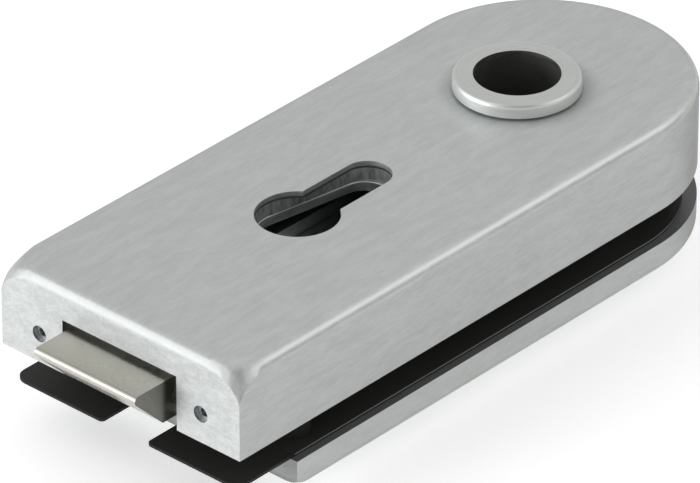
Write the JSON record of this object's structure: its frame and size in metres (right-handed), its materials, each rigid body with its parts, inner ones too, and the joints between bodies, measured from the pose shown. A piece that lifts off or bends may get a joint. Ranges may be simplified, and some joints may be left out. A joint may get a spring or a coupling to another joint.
{
  "type": "glass door lock",
  "caption": "Clamp-on lock for a glass door: round-ended case with a bevelled latch, profile cylinder cut-out and handle hole, and a counter plate across the glass gap.",
  "frame": {"origin": "the profile cylinder's axis, on the case's face towards the glass", "axes": "+X from the latch towards the round end, +Z out of the case away from the glass, +Y across the case"},
  "size_m": [0.1677, 0.064, 0.0419],
  "materials": {
    "brushed_aluminium": "satin brushed along the length",
    "ring_aluminium": "turned satin",
    "latch_nickel": "satin nickel, fine lengthwise brushing",
    "die_cast": "dark grey die-cast zinc",
    "zinc_steel": "zinc-plated sheet",
    "black_steel": "blackened screws",
    "sintered_steel": "sintered, matte",
    "spring_steel": "drawn wire and strip",
    "black_plastic": "matte black",
    "black_rubber": "matte black sheet"
  },
  "bodies": {
    "case": {"case_cover": "brushed_aluminium", "counter_plate": "brushed_aluminium", "handle_ring_top": "ring_aluminium", "handle_ring_bottom": "ring_aluminium", "lock_frame": "die_cast", "mechanism_plate": "zinc_steel", "base_plate": "zinc_steel", "mechanism_plate_screws": "black_steel", "base_plate_screws": "black_steel", "cover_grub_screws": "zinc_steel", "clamp_screws": "black_steel", "cylinder_screw": "black_steel", "lock_slide_guides": "spring_steel", "detent_rivet": "spring_steel", "latch_springs": "spring_steel", "handle_spring": "spring_steel", "detent_spring": "spring_steel", "handle_bush_top": "black_plastic", "handle_bush_bottom": "black_plastic", "glass_sleeves": "black_plastic", "upper_gasket": "black_rubber", "lower_gasket": "black_rubber"},
    "hub": {"follower_hub": "sintered_steel"},
    "latch": {"latch_bolt": "latch_nickel", "draw_slide": "zinc_steel"},
    "lock": {"lock_slide": "zinc_steel"}
  },
  "joints": [
    {"name": "handle_turn", "type": "hinge", "parent": "case", "child": "hub", "pos_m": [0.0662, 0, 0.007], "axis": [0, 0, 1], "range_deg": [0, 38]},
    {"name": "latch_slide", "type": "slide", "parent": "case", "child": "latch", "axis": [1, 0, 0], "range_m": [0, 0.0095], "stiffness_N_per_m": 900, "springref_m": -0.008, "deforming": ["latch_springs", "handle_spring"]},
    {"name": "lock_throw", "type": "slide", "parent": "case", "child": "lock", "axis": [1, 0, 0], "range_m": [0, 0.01], "deforming": ["detent_spring"]}
  ],
  "couplings": [
    {"joint": "handle_turn", "follows": "latch_slide", "rad_per_m": 69.8}
  ]
}
